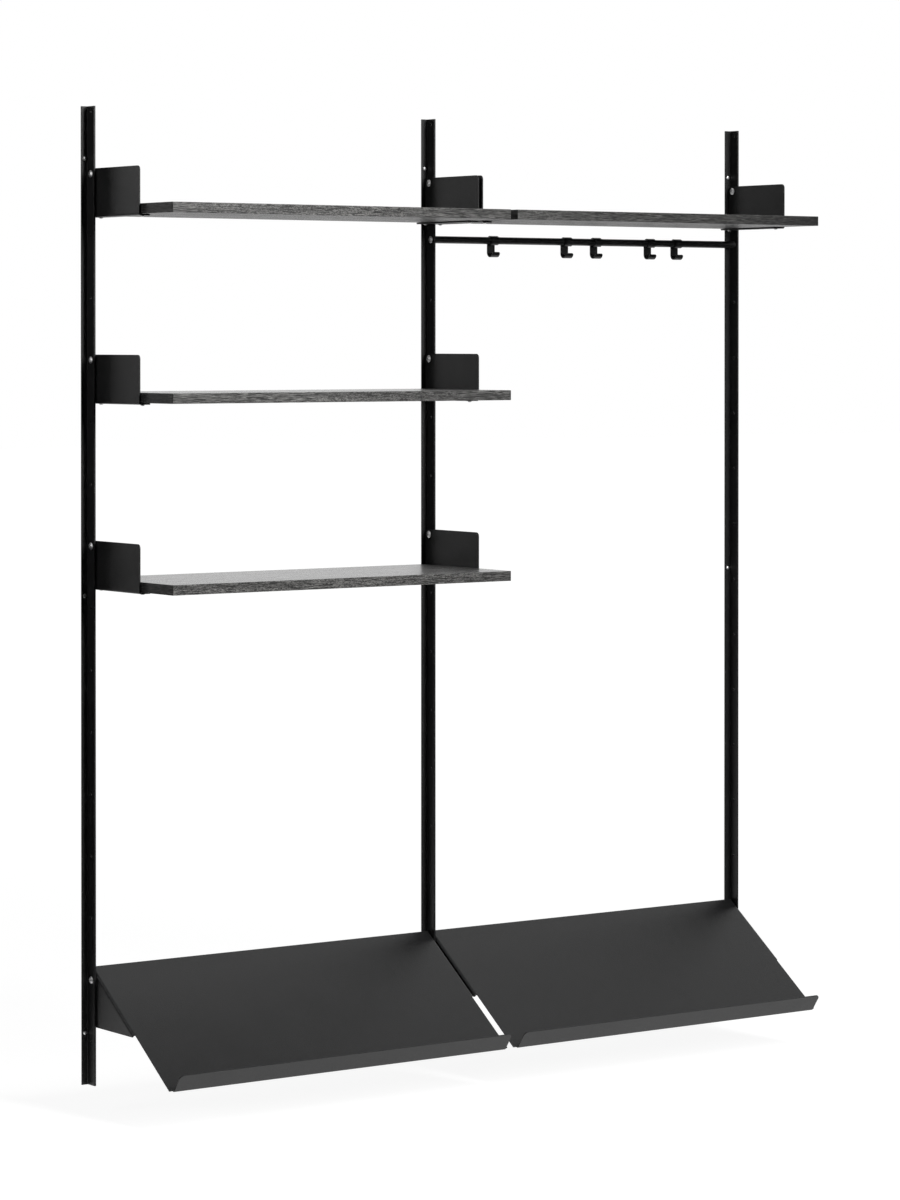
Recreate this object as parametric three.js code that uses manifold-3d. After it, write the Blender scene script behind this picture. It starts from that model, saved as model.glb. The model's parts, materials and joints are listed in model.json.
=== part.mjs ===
// Wall mounted closet system, in millimetres, +Z up, the front looking along -Y.
// Three T-section rails stand on the wall two bays apart. They carry boards on bent sheet
// brackets, a hanging rod with sliding hooks, and two tilted shoe shelves.
// The origin is the middle of the middle rail's back face, which lies on the wall.

import * as THREE from "three";
import { mergeVertices } from "three/addons/utils/BufferGeometryUtils.js";
import Module from "manifold-3d";

const wasm = await Module();
wasm.setup();

// Clearances shared by all pieces
const seatGap = 0.3;
const shankClearance = 0.3;
const cutOverrun = 1;

// Rails
const railHeight = 1900;
const railPitch = 805.7;
const flangeWidth = 30;
const flangeThickness = 3;
const webThickness = 4;
const railDepth = 28.5;
const railRootRadius = 1.5;
const webHolePitch = 120.3;
const topHoleDrop = 11;
const lowHoleLeastRise = 20;
const holeLineDepth = 16.5;

// Wall screws, on the left of each web
const wallScrewSide = 8.5;
const wallScrewEndDistance = 101.5;
const wallHeadDiameter = 8;
const wallHeadHeight = 2.4;
const wallRimHeight = 0.8;
const wallShankDiameter = 4.2;

// Bolts through the webs, also used at the rod's ends
const boltShankDiameter = 5;
const boltHeadDiameter = 14.5;
const boltHeadHeight = 3;
const boltRimHeight = 1;
const boltSocketAcrossFlats = 4;
const boltSocketDepth = 1.8;
const boltTipStandOut = 1;

// Boards
const boardDepth = 300;
const boardThickness = 19.8;
const boardEndGap = 7.8;
const boardWallGap = 4;
const boardCornerRadius = 1.5;

// Shelf brackets: an upright plate beside the web and a flange under the board
const bracketSheet = 3;
const bracketStandOff = 1.6;
const bracketTopRise = 10.7;
const bracketHeight = 95.3;
const bracketLength = 185.4;
const bracketFlangeReach = 29.5;
const bracketBendRadius = 4.5;
const bracketFrontRadius = 8;
const bracketLowRadius = 2;
const bracketFlangeCornerRadius = 3;
const collarDiameter = 14;

// Press nuts on the brackets and ears to the right of a web
const pressNutDiameter = 10;
const pressNutHeight = 2;

// Screws from the bracket flanges up into the boards
const boardScrewSide = 18.5;
const boardScrewFirstDepth = 21.5;
const boardScrewSpacing = 155;
const boardHeadDiameter = 8;
const boardHeadHeight = 2.2;
const boardRimHeight = 0.8;
const boardShankDiameter = 4;
const boardShankLength = 16;
const boardHoleExtraDepth = 0.8;

// Tilted shoe shelves: bed, front lip and side ears of one bent sheet
const shoeTiltDegrees = 35.27;
const shoeSheet = 2.5;
const shoeEdgeGap = 7.6;
const shoeEarGap = 2.4;
const shoeRearDepth = 9.9;
const shoeRearAboveHole = 24.95;
const shoeBedLength = 349.5;
const shoeLipHeight = 44;
const shoeLipInset = 8;
const shoeLipBendRadius = 5;
const shoeLipCornerRadius = 9;
const shoeEarDropBelowHole = 91.3;
const shoeEarTipHeight = 6.3;
const shoeEarShoulder = 7;

// Hanging rod
const rodDiameter = 15;
const rodDrop = 236.3;
const rodHoleDepth = 22;
const rodShankLength = 20;

// Hooks, each one strip bent over the rod and into a J
const hookWidth = 19;
const hookStrip = 2;
const hookClipWrapDegrees = 255;
const hookJRadius = 10.4;
const hookJDrop = 24.1;
const hookTipRise = 0.5;
const hookTipCornerRadius = 4;
const hookPlaces = [157.1, 348.5, 426.4, 571.4, 644.6];

// Web holes in use, as counts of hole pitches below the top hole or above the lowest one
const leftBoardPitchCounts = [1, 4, 7];
const rightBoardPitchCount = 1;
const rodPitchCount = 2;
const shoePitchCountFromLowest = 1;

// Fineness of round shapes
const cornerSteps = 4;
const holeSides = 10;
const boltSides = 16;
const socketSides = 6;
const screwSides = 10;
const rodSides = 32;
const domeSteps = 3;
const clipSteps = 16;
const jSteps = 10;

// Places worked out from the sizes above
const fullTurn = 2 * Math.PI;
const quarterTurn = Math.PI / 2;
const shoeTilt = THREE.MathUtils.degToRad(shoeTiltDegrees);
const railPlaces = { left: -railPitch, middle: 0, right: railPitch };
const wallScrewReach = railHeight / 2 - wallScrewEndDistance;
const wallScrewHeights = [wallScrewReach, 0, -wallScrewReach];
const wallScrewNames = ["top", "middle", "bottom"];
const webHalf = webThickness / 2;
const bracketInner = webHalf + bracketStandOff;
const bracketOuter = bracketInner + bracketSheet;
const bracketBottom = bracketTopRise - bracketHeight;
const bracketRear = -(flangeThickness + seatGap);
const bracketFront = bracketRear - bracketLength;
const boardScrewDepths = [boardScrewFirstDepth, boardScrewFirstDepth + boardScrewSpacing];
const boardScrewNames = ["rear", "front"];
const rodHeight = railHeight / 2 - topHoleDrop - rodDrop;
const boltHoleDiameter = boltShankDiameter + 2 * shankClearance;
const wallHoleDiameter = wallShankDiameter + 2 * shankClearance;
const boardHoleDiameter = boardShankDiameter + 2 * shankClearance;

const webHoleCount = 1 + Math.floor((railHeight - topHoleDrop - lowHoleLeastRise) / webHolePitch);
const shoePitchCount = webHoleCount - 1 - shoePitchCountFromLowest;

function webHoleHeight(pitchCount) {
  return railHeight / 2 - topHoleDrop - pitchCount * webHolePitch;
}

// Finishes
const powderCoat = { color: 0x17181a, roughness: 0.55, metalness: 0.1 };
const blackOak = { color: 0x2b2a29, roughness: 0.62, metalness: 0 };
const zincSteel = { color: 0xb9bbbd, roughness: 0.35, metalness: 0.9 };

// Solids and meshes
function toSolid(geometry) {
  const bare = new THREE.BufferGeometry();
  bare.setAttribute("position", geometry.getAttribute("position").clone());
  bare.setIndex(geometry.getIndex());
  const merged = mergeVertices(bare);
  const source = merged.getIndex().array;
  const kept = [];
  for (let i = 0; i < source.length; i += 3) {
    const [a, b, c] = [source[i], source[i + 1], source[i + 2]];
    if (a !== b && b !== c && c !== a) kept.push(a, b, c);
  }
  const mesh = new wasm.Mesh({
    numProp: 3,
    vertProperties: merged.getAttribute("position").array,
    triVerts: Uint32Array.from(kept),
  });
  return new wasm.Manifold(mesh);
}

function toGeometry(solid) {
  const mesh = solid.getMesh();
  const geometry = new THREE.BufferGeometry();
  geometry.setAttribute("position", new THREE.BufferAttribute(mesh.vertProperties, 3));
  geometry.setIndex(new THREE.BufferAttribute(mesh.triVerts, 1));
  geometry.computeVertexNormals();
  return geometry;
}

function piece(name, solid, finish) {
  const mesh = new THREE.Mesh(toGeometry(solid), new THREE.MeshStandardMaterial(finish));
  mesh.name = name;
  return mesh;
}

// Points of an arc about a centre, from one angle to another
function arcPoints(centreA, centreB, radius, from, to, steps) {
  const points = [];
  for (let step = 0; step <= steps; step += 1) {
    const angle = from + ((to - from) * step) / steps;
    const [a, b] = [radius * Math.cos(angle), radius * Math.sin(angle)];
    points.push(new THREE.Vector2(centreA + a, centreB + b));
  }
  return points;
}

// A closed outline from corners of [a, b, radius], where a corner without a radius stays sharp
function roundedOutline(corners) {
  const points = [];
  corners.forEach(([a, b, radius = 0], index) => {
    const corner = new THREE.Vector2(a, b);
    if (radius === 0) {
      points.push(corner);
      return;
    }
    const before = corners[(index + corners.length - 1) % corners.length];
    const after = corners[(index + 1) % corners.length];
    const toBefore = new THREE.Vector2(before[0], before[1]).sub(corner).normalize();
    const toAfter = new THREE.Vector2(after[0], after[1]).sub(corner).normalize();
    const half = Math.acos(toBefore.dot(toAfter)) / 2;
    const inward = toBefore.clone().add(toAfter).normalize();
    const centre = corner.clone().addScaledVector(inward, radius / Math.sin(half));
    const start = corner.clone().addScaledVector(toBefore, radius / Math.tan(half)).sub(centre);
    const end = corner.clone().addScaledVector(toAfter, radius / Math.tan(half)).sub(centre);
    const from = start.angle();
    const sweep = Math.atan2(start.cross(end), start.dot(end));
    points.push(...arcPoints(centre.x, centre.y, radius, from, from + sweep, cornerSteps));
  });
  return points;
}

// Prisms: an outline in (Y, Z) pulled along X, in (X, Z) along Y, or in (X, Y) along Z
function prism(points, low, high, toPlace) {
  const geometry = new THREE.ExtrudeGeometry(new THREE.Shape(points), {
    depth: high - low,
    bevelEnabled: false,
  });
  return toSolid(geometry.applyMatrix4(toPlace));
}

function prismX(points, low, high) {
  const turn = new THREE.Matrix4().makeBasis(
    new THREE.Vector3(0, 1, 0), new THREE.Vector3(0, 0, 1), new THREE.Vector3(1, 0, 0));
  return prism(points, low, high, turn.setPosition(low, 0, 0));
}

function prismY(points, low, high) {
  const turn = new THREE.Matrix4().makeBasis(
    new THREE.Vector3(1, 0, 0), new THREE.Vector3(0, 0, 1), new THREE.Vector3(0, -1, 0));
  return prism(points, low, high, turn.setPosition(0, high, 0));
}

function prismZ(points, low, high) {
  return prism(points, low, high, new THREE.Matrix4().makeTranslation(0, 0, low));
}

// Round rods and hole cutters between two places along an axis
function round(diameter, low, high, sides) {
  const geometry = new THREE.CylinderGeometry(diameter / 2, diameter / 2, high - low, sides);
  return geometry.translate(0, (low + high) / 2, 0);
}

function roundX(diameter, low, high, y, z, sides = holeSides) {
  return toSolid(round(diameter, low, high, sides).rotateZ(-quarterTurn).translate(0, y, z));
}

function roundY(diameter, low, high, x, z, sides = holeSides) {
  return toSolid(round(diameter, low, high, sides).translate(x, 0, z));
}

function roundZ(diameter, low, high, x, y, sides = holeSides) {
  return toSolid(round(diameter, low, high, sides).rotateX(quarterTurn).translate(x, y, 0));
}

// A cutter that rounds one corner of a plate, for a corner at (a, b) that points along (signA, signB)
function cornerCutter(a, b, signA, signB, radius) {
  const centreA = a - signA * radius;
  const centreB = b - signB * radius;
  const arc = [];
  for (let step = 0; step <= cornerSteps; step += 1) {
    const angle = (quarterTurn * step) / cornerSteps;
    arc.push(new THREE.Vector2(
      centreA + signA * radius * Math.cos(angle), centreB + signB * radius * Math.sin(angle)));
  }
  const outA = a + signA * cutOverrun;
  const outB = b + signB * cutOverrun;
  return [
    new THREE.Vector2(outA, centreB), ...arc,
    new THREE.Vector2(centreA, outB), new THREE.Vector2(outA, outB),
  ];
}

// Rail: its own hole line, with the rod's hole in place of one web hole where a rod is fixed
function railSolid(carriesRod) {
  const half = flangeWidth / 2;
  const section = roundedOutline([
    [-half, 0], [-half, -flangeThickness], [-webHalf, -flangeThickness, railRootRadius],
    [-webHalf, -railDepth], [webHalf, -railDepth], [webHalf, -flangeThickness, railRootRadius],
    [half, -flangeThickness], [half, 0],
  ]);
  let rail = prismZ(section, -railHeight / 2, railHeight / 2);
  for (let index = 0; index < webHoleCount; index += 1) {
    const height = carriesRod && index === rodPitchCount ? rodHeight : webHoleHeight(index);
    rail = rail.subtract(roundX(
      boltHoleDiameter, -webHalf - cutOverrun, webHalf + cutOverrun, -holeLineDepth, height));
  }
  for (const height of wallScrewHeights) {
    rail = rail.subtract(roundY(
      wallHoleDiameter, -flangeThickness - cutOverrun, cutOverrun, -wallScrewSide, height));
  }
  return rail;
}

// Board: origin above the underside's middle at the wall plane, with blind screw holes below
function boardSolid() {
  const half = railPitch / 2 - boardEndGap;
  const rear = -boardWallGap;
  const front = rear - boardDepth;
  const plan = roundedOutline([
    [-half, rear, boardCornerRadius], [-half, front, boardCornerRadius],
    [half, front, boardCornerRadius], [half, rear, boardCornerRadius],
  ]);
  let board = prismZ(plan, 0, boardThickness);
  const holeDepth = boardShankLength - bracketSheet - seatGap + boardHoleExtraDepth;
  for (const side of [-1, 1]) {
    for (const depth of boardScrewDepths) {
      board = board.subtract(roundZ(
        boardHoleDiameter, -cutOverrun, holeDepth, side * (railPitch / 2 - boardScrewSide), -depth));
    }
  }
  return board;
}

// Bracket: origin at its bolt's height in the web's middle plane, on the side +1 or -1 of the web
function bracketSolid(side, threaded) {
  const section = roundedOutline([
    [side * bracketInner, bracketTopRise],
    [side * bracketInner, bracketBottom, bracketBendRadius],
    [side * bracketFlangeReach, bracketBottom],
    [side * bracketFlangeReach, bracketBottom + bracketSheet],
    [side * bracketOuter, bracketBottom + bracketSheet, bracketBendRadius - bracketSheet],
    [side * bracketOuter, bracketTopRise],
  ]);
  const plateOutline = roundedOutline([
    [bracketRear, bracketBottom, bracketLowRadius], [bracketRear, bracketTopRise, bracketTopRise],
    [bracketFront, bracketTopRise, bracketFrontRadius], [bracketFront, bracketBottom, bracketLowRadius],
  ]);
  const flangePlan = roundedOutline([
    [side * (bracketInner - cutOverrun), bracketRear],
    [side * bracketFlangeReach, bracketRear, bracketFlangeCornerRadius],
    [side * bracketFlangeReach, bracketFront, bracketFlangeCornerRadius],
    [side * (bracketInner - cutOverrun), bracketFront],
  ]);
  const reach = bracketFlangeReach + cutOverrun;
  let bracket = prismY(section, bracketFront, bracketRear)
    .intersect(prismX(plateOutline, -reach, reach))
    .intersect(prismZ(flangePlan, bracketBottom - cutOverrun, bracketTopRise + cutOverrun));
  const plateMiddle = side * (bracketInner + bracketSheet / 2);
  bracket = bracket.add(roundBetween(collarDiameter, side * (webHalf + seatGap), plateMiddle));
  if (threaded) {
    const nutFace = side * (bracketOuter + pressNutHeight);
    bracket = bracket.add(roundBetween(pressNutDiameter, plateMiddle, nutFace));
  }
  bracket = bracket.subtract(roundX(boltHoleDiameter, -reach, reach, -holeLineDepth, 0));
  for (const depth of boardScrewDepths) {
    bracket = bracket.subtract(roundZ(
      boardHoleDiameter, bracketBottom - cutOverrun, bracketBottom + bracketSheet + cutOverrun,
      side * boardScrewSide, -depth));
  }
  return bracket;
}

// A round boss on the hole line between two X places, given in either order
function roundBetween(diameter, one, other, y = -holeLineDepth, z = 0) {
  return roundX(diameter, Math.min(one, other), Math.max(one, other), y, z);
}

// Shoe shelf: origin on the bed's rear top edge, before it is tilted, with the bed along -Y
const shoeHalf = railPitch / 2 - shoeEdgeGap;
const shoeEarBendRadius = shoeEdgeGap - shoeEarGap;
const shoeEarRearDepth = flangeThickness + railRootRadius;
const shoeRearHeight = webHoleHeight(shoePitchCount) + shoeRearAboveHole;

// A place given by its depth from the wall and its rise from the shoe shelf's bolt, in the shelf's frame
function inShelf(wallDepth, riseFromHole) {
  const back = shoeRearDepth - wallDepth;
  const up = riseFromHole - shoeRearAboveHole;
  return [
    back * Math.cos(shoeTilt) + up * Math.sin(shoeTilt),
    up * Math.cos(shoeTilt) - back * Math.sin(shoeTilt),
  ];
}

function shoeBed() {
  const front = -shoeBedLength;
  const lipTop = shoeLipHeight - shoeSheet;
  const bend = front + shoeLipBendRadius;
  const bed = prismX(roundedOutline([
    [0, 0], [0, -shoeSheet], [bend, -shoeSheet], [bend, 0],
  ]), -shoeHalf, shoeHalf);
  const lipHalf = shoeHalf - shoeLipInset;
  const lip = prismX(roundedOutline([
    [bend + shoeLipBendRadius, 0], [bend + shoeLipBendRadius, -shoeSheet],
    [front, -shoeSheet, shoeLipBendRadius], [front, lipTop],
    [front + shoeSheet, lipTop], [front + shoeSheet, 0, shoeLipBendRadius - shoeSheet],
  ]), -lipHalf, lipHalf);
  let shelf = bed.add(lip);
  for (const side of [-1, 1]) {
    const cutter = cornerCutter(side * lipHalf, lipTop, side, 1, shoeLipCornerRadius);
    shelf = shelf.subtract(prismY(cutter, front - cutOverrun, bend));
  }
  return shelf;
}

function shoeEar(side, threaded) {
  const outer = shoeHalf + shoeEarBendRadius;
  const [lowRearY, lowRearZ] = inShelf(shoeEarRearDepth, -shoeEarDropBelowHole);
  const section = roundedOutline([
    [side * (shoeHalf - shoeEarBendRadius), 0], [side * outer, 0, shoeEarBendRadius],
    [side * outer, lowRearZ - cutOverrun], [side * (outer - shoeSheet), lowRearZ - cutOverrun],
    [side * (outer - shoeSheet), -shoeSheet, shoeEarBendRadius - shoeSheet],
    [side * (shoeHalf - shoeEarBendRadius), -shoeSheet],
  ]);
  const highRear = inShelf(shoeEarRearDepth, shoeRearAboveHole - shoeEarShoulder);
  const tip = lowRearY + (lowRearZ + shoeEarTipHeight) / Math.tan(shoeTilt);
  const outline = roundedOutline([
    [0, 0], [tip, 0], [tip, -shoeEarTipHeight], [lowRearY, lowRearZ], highRear,
  ]);
  const reach = outer + cutOverrun;
  const earEnds = side > 0 ? [0, reach] : [-reach, 0];
  let ear = prismY(section, tip - cutOverrun, highRear[0] + cutOverrun)
    .intersect(prismX(outline, ...earEnds));
  const [holeY, holeZ] = inShelf(holeLineDepth, 0);
  if (threaded) {
    const sheetMiddle = side * (outer - shoeSheet / 2);
    const nutFace = side * (outer - shoeSheet - pressNutHeight);
    ear = ear.add(roundBetween(pressNutDiameter, sheetMiddle, nutFace, holeY, holeZ));
  }
  return ear.subtract(roundBetween(
    boltHoleDiameter, side * (outer + cutOverrun), side * (outer - shoeEarBendRadius - cutOverrun),
    holeY, holeZ));
}

function shoeShelfSolid() {
  return shoeBed().add(shoeEar(-1, true)).add(shoeEar(1, false));
}

// Rod: origin at its middle
function rodSolid() {
  const half = railPitch / 2 - webHalf - seatGap;
  let rod = roundX(rodDiameter, -half, half, 0, 0, rodSides);
  for (const side of [-1, 1]) {
    rod = rod.subtract(roundBetween(
      boltHoleDiameter, side * (half - rodHoleDepth), side * (half + cutOverrun), 0, 0));
  }
  return rod;
}

// Hook: origin on the rod's axis, in the middle of the strip's width
function hookSolid() {
  const clipInner = rodDiameter / 2 + seatGap;
  const clipOuter = clipInner + hookStrip;
  const jMiddle = clipOuter - hookJRadius;
  const jInner = hookJRadius - hookStrip;
  const tipFront = jMiddle - hookJRadius;
  const tipTop = hookTipRise - hookJDrop;
  const wrap = THREE.MathUtils.degToRad(hookClipWrapDegrees);
  const outline = [
    new THREE.Vector2(tipFront, tipTop),
    ...arcPoints(jMiddle, -hookJDrop, hookJRadius, Math.PI, fullTurn, jSteps),
    ...arcPoints(0, 0, clipOuter, 0, wrap, clipSteps),
    ...arcPoints(0, 0, clipInner, wrap, 0, clipSteps),
    ...arcPoints(jMiddle, -hookJDrop, jInner, fullTurn, Math.PI, jSteps),
    new THREE.Vector2(tipFront + hookStrip, tipTop),
  ];
  let hook = prismX(outline, -hookWidth / 2, hookWidth / 2);
  for (const side of [-1, 1]) {
    const cutter = cornerCutter((side * hookWidth) / 2, tipTop, side, 1, hookTipCornerRadius);
    hook = hook.subtract(prismY(cutter, tipFront - cutOverrun, tipFront + hookStrip + cutOverrun));
  }
  return hook;
}

// Screw: the head's seat at the origin, the shank along +Z, an optional hexagon socket in the head
function screwSolid(sizes) {
  const { headDiameter, headHeight, rimHeight, shankDiameter, length, sides, socket = false } = sizes;
  const dome = [];
  for (let step = domeSteps; step >= 0; step -= 1) {
    const angle = (quarterTurn * step) / domeSteps;
    const radius = (headDiameter / 2) * Math.cos(angle);
    const height = rimHeight + (headHeight - rimHeight) * Math.sin(angle);
    dome.push(new THREE.Vector2(step === domeSteps ? 0 : radius, -height));
  }
  const profile = [
    ...dome,
    new THREE.Vector2(headDiameter / 2, 0), new THREE.Vector2(shankDiameter / 2, 0),
    new THREE.Vector2(shankDiameter / 2, length), new THREE.Vector2(0, length),
  ];
  let screw = toSolid(new THREE.LatheGeometry(profile, sides).rotateX(quarterTurn));
  if (socket) {
    const acrossCorners = boltSocketAcrossFlats / Math.cos(Math.PI / socketSides);
    screw = screw.subtract(roundZ(
      acrossCorners, -headHeight - cutOverrun, boltSocketDepth - headHeight, 0, 0, socketSides));
  }
  return screw;
}

function boltSolid(length) {
  return screwSolid({
    headDiameter: boltHeadDiameter, headHeight: boltHeadHeight, rimHeight: boltRimHeight,
    shankDiameter: boltShankDiameter, length, sides: boltSides, socket: true,
  });
}

function wallScrewSolid() {
  return screwSolid({
    headDiameter: wallHeadDiameter, headHeight: wallHeadHeight, rimHeight: wallRimHeight,
    shankDiameter: wallShankDiameter, length: flangeThickness + seatGap, sides: screwSides,
  });
}

function boardScrewSolid() {
  return screwSolid({
    headDiameter: boardHeadDiameter, headHeight: boardHeadHeight, rimHeight: boardRimHeight,
    shankDiameter: boardShankDiameter, length: boardShankLength, sides: screwSides,
  });
}

const closet = new THREE.Group();
closet.name = "closet_system";

// Rails and their wall screws
for (const [place, x] of Object.entries(railPlaces)) {
  const rail = piece(`rail_${place}`, railSolid(x >= 0), powderCoat);
  rail.position.set(x, 0, 0);
  closet.add(rail);
  wallScrewHeights.forEach((height, index) => {
    const name = `wall_screw_${place}_rail_${wallScrewNames[index]}`;
    const screw = piece(name, wallScrewSolid(), zincSteel);
    screw.position.set(x - wallScrewSide, -flangeThickness - seatGap, height);
    screw.rotation.x = -quarterTurn;
    closet.add(screw);
  });
}

// One shelf level: a board, the brackets at its ends and the screws that hold it down
function addLevel(bay, number, fromX, pitchCount) {
  const name = `${bay}_bay_${number}`;
  const height = webHoleHeight(pitchCount);
  const board = piece(`board_${name}`, boardSolid(), blackOak);
  board.position.set(fromX + railPitch / 2, 0, height + bracketBottom + bracketSheet + seatGap);
  closet.add(board);
  const ends = [
    { end: "left", x: fromX, side: 1 },
    { end: "right", x: fromX + railPitch, side: -1 },
  ];
  for (const { end, x, side } of ends) {
    const bracket = piece(`bracket_${name}_${end}`, bracketSolid(side, side > 0), powderCoat);
    bracket.position.set(x, 0, height);
    closet.add(bracket);
    boardScrewDepths.forEach((depth, index) => {
      const screwName = `board_screw_${name}_${end}_${boardScrewNames[index]}`;
      const screw = piece(screwName, boardScrewSolid(), zincSteel);
      screw.position.set(x + side * boardScrewSide, -depth, height + bracketBottom - seatGap);
      closet.add(screw);
    });
  }
}

leftBoardPitchCounts.forEach((count, index) => addLevel("left", index + 1, railPlaces.left, count));
addLevel("right", 1, railPlaces.middle, rightBoardPitchCount);

// Bolts enter from the left of each web and end in a press nut or just past the web
const faces = {
  web: -webHalf, bracket: -bracketOuter, ear: -(shoeEarGap + shoeSheet),
};
const tips = {
  web: webHalf + boltTipStandOut,
  bracket: bracketOuter + pressNutHeight,
  ear: shoeEarGap + shoeSheet + pressNutHeight,
};

function addBolt(name, railX, height, face, tip) {
  const seat = faces[face] - seatGap;
  const bolt = piece(name, boltSolid(tips[tip] - seat), zincSteel);
  bolt.position.set(railX + seat, -holeLineDepth, height);
  bolt.rotation.y = quarterTurn;
  closet.add(bolt);
}

leftBoardPitchCounts.forEach((count, index) => {
  const height = webHoleHeight(count);
  const number = index + 1;
  addBolt(`bracket_bolt_left_rail_${number}`, railPlaces.left, height, "web", "bracket");
  const tip = count === rightBoardPitchCount ? "bracket" : "web";
  addBolt(`bracket_bolt_middle_rail_${number}`, railPlaces.middle, height, "bracket", tip);
});
const rightBoltHeight = webHoleHeight(rightBoardPitchCount);
addBolt("bracket_bolt_right_rail_1", railPlaces.right, rightBoltHeight, "bracket", "web");
const shoeBoltHeight = webHoleHeight(shoePitchCount);
addBolt("shoe_bolt_left_rail", railPlaces.left, shoeBoltHeight, "web", "ear");
addBolt("shoe_bolt_middle_rail", railPlaces.middle, shoeBoltHeight, "ear", "ear");
addBolt("shoe_bolt_right_rail", railPlaces.right, shoeBoltHeight, "ear", "web");

// Tilted shoe shelves
for (const [bay, fromX] of [["left", railPlaces.left], ["right", railPlaces.middle]]) {
  const shelf = piece(`shoe_shelf_${bay}`, shoeShelfSolid(), powderCoat);
  shelf.position.set(fromX + railPitch / 2, -shoeRearDepth, shoeRearHeight);
  shelf.rotation.x = shoeTilt;
  closet.add(shelf);
}

// Hanging rod, its end screws and its hooks
const rod = piece("hanging_rod", rodSolid(), powderCoat);
rod.position.set(railPitch / 2, -holeLineDepth, rodHeight);
closet.add(rod);

const rodEnds = [
  { name: "rod_screw_left", x: railPlaces.middle, side: 1 },
  { name: "rod_screw_right", x: railPlaces.right, side: -1 },
];
for (const { name, x, side } of rodEnds) {
  const screw = piece(name, boltSolid(webThickness + seatGap + rodShankLength), zincSteel);
  screw.position.set(x - side * (webHalf + seatGap), -holeLineDepth, rodHeight);
  screw.rotation.y = side * quarterTurn;
  closet.add(screw);
}

hookPlaces.forEach((x, index) => {
  const hook = piece(`hook_${index + 1}`, hookSolid(), powderCoat);
  hook.position.set(x, -holeLineDepth, rodHeight);
  closet.add(hook);
});

export default closet;
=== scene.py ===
import json
import math

import bmesh
import bpy
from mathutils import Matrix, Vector

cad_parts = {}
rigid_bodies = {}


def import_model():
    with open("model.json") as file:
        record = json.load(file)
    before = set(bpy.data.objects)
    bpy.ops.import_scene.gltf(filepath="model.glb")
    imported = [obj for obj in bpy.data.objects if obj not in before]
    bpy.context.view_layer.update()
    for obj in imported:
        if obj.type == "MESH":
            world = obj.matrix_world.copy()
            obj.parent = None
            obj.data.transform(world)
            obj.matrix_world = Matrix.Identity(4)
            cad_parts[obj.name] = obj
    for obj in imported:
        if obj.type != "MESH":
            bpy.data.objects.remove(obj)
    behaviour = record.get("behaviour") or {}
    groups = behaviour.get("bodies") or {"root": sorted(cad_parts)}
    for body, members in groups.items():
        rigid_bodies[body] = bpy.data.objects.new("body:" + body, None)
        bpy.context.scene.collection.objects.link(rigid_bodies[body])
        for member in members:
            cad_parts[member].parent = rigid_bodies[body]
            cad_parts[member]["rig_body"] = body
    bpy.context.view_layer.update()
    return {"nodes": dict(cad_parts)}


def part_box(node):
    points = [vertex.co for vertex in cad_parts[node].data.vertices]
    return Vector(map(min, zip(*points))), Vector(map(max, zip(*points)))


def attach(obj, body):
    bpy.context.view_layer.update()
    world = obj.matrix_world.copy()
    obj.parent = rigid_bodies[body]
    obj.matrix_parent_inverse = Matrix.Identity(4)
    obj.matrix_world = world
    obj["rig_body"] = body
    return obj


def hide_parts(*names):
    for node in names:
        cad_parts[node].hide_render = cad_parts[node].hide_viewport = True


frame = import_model()

# The looks of a wall mounted closet system, in metres, +Z up, the front looking along -Y.
# Every piece is modelled here and stands where its CAD node is.
QUARTER = math.pi / 2
AXES = {"x": 0, "y": 1, "z": 2}
NEAR = 0.00001
OVERRUN = 0.001

# Fits, holes and edges that the pieces share
SEAT_GAP = 0.0003
SHANK_CLEARANCE = 0.0003
HOLE_SIDES = 24
HOLE_BREAK = 0.00035
CUT_EDGE = 0.0004
EDGE_STEPS = 3
SHARP_ANGLE = math.radians(40)
SMOOTH_ANGLE = math.radians(38)
FLAT_WEIGHT = 80

# Bolts, as radii and heights
BOLT_SIDES = 48
BOLT_HEAD = 0.00725
BOLT_HEAD_HEIGHT = 0.003
BOLT_RIM = 0.0006
BOLT_SHANK = 0.0025
BOLT_HOLE = BOLT_SHANK + SHANK_CLEARANCE
BOLT_THREAD = 0.0008
SOCKET = 0.0023
SOCKET_SIDES = 6
SOCKET_DEPTH = 0.0018

# Screws, as radii and heights
SCREW_SIDES = 32
SCREW_HEAD = 0.004
SCREW_RIM = 0.0008
SCREW_THREAD = 0.0016
WALL_HEAD_HEIGHT = 0.0024
WALL_SHANK = 0.0021
BOARD_HEAD_HEIGHT = 0.0022
BOARD_SHANK = 0.002
BOARD_SCREW_HOLE = BOARD_SHANK + SHANK_CLEARANCE
CROSS_ARM = 0.0009
CROSS_SPAN = 0.0042
CROSS_DEPTH = 0.0014
CROSS_FLOOR_SHARE = 0.6

# Collars and press nuts round the bolts, as radii and a height
COLLAR = 0.007
PRESS_NUT = 0.005
PRESS_NUT_HEIGHT = 0.002
BOSS_SIDES = 40
BOSS_EDGE_STEPS = 2

# The domed top and the thread of any bolt or screw
DOME_STEPS = 6
DOME_SHARE = 0.82
THREAD_DEPTH = 0.0003

# Rails
FLANGE = 0.003
WEB = 0.004
ROOT_RADIUS = 0.0015
ROOT_STEPS = 4
ROLLED_EDGE = 0.0006
HOLE_LINE = 0.0165
HOLE_PITCH = 0.1203
HOLE_COUNT = 16
TOP_HOLE_DROP = 0.011
ROD_HOLE = 2
WALL_SCREW_SIDE = 0.0085

# Boards
BOARD_CORNER = 0.0015
BOARD_CORNER_STEPS = 4
BOARD_EDGE = 0.0007
BOARD_DRILL_SIDES = 20
BOARD_DRILL_DEPTH = 0.0135

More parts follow.
